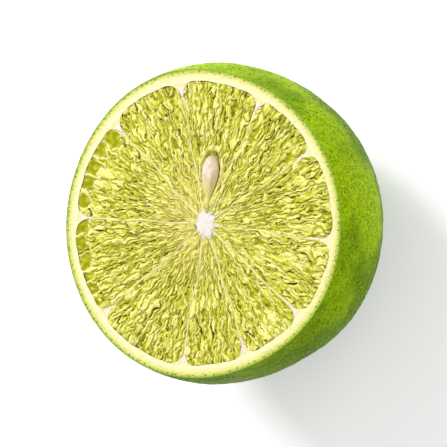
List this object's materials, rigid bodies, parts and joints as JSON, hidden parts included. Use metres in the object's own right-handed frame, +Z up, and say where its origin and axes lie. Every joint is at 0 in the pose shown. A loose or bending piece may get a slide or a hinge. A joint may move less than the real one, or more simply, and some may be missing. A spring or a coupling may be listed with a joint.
{
  "type": "lemon half",
  "caption": "Green citrus fruit, cut square to its axis, resting cut face up on its rounded stem end, with pith, pulp segments and a seed.",
  "frame": {"origin": "on the resting plane, under the middle of the fruit's bounding box", "axes": "+Z up out of the cut face, +X from the core towards the seed's blunt end"},
  "size_m": [0.0562, 0.0558, 0.0372],
  "materials": {
    "green_rind": "waxy green peel with fine oil glands",
    "white_pith": "soft off-white pith, moist and matte",
    "green_pulp": "wet yellow-green juice sacs",
    "cream_seed": "smooth cream seed coat, moist",
    "tan_scar": "dry tan stem scar"
  },
  "bodies": {
    "root": {"rind": "green_rind", "pith": "white_pith", "pulp_segment_01": "green_pulp", "pulp_segment_02": "green_pulp", "pulp_segment_03": "green_pulp", "pulp_segment_04": "green_pulp", "pulp_segment_05": "green_pulp", "pulp_segment_06": "green_pulp", "pulp_segment_07": "green_pulp", "pulp_segment_08": "green_pulp", "pulp_segment_09": "green_pulp", "pulp_segment_10": "green_pulp", "seed": "cream_seed", "stem_scar": "tan_scar"}
  },
  "joints": []
}
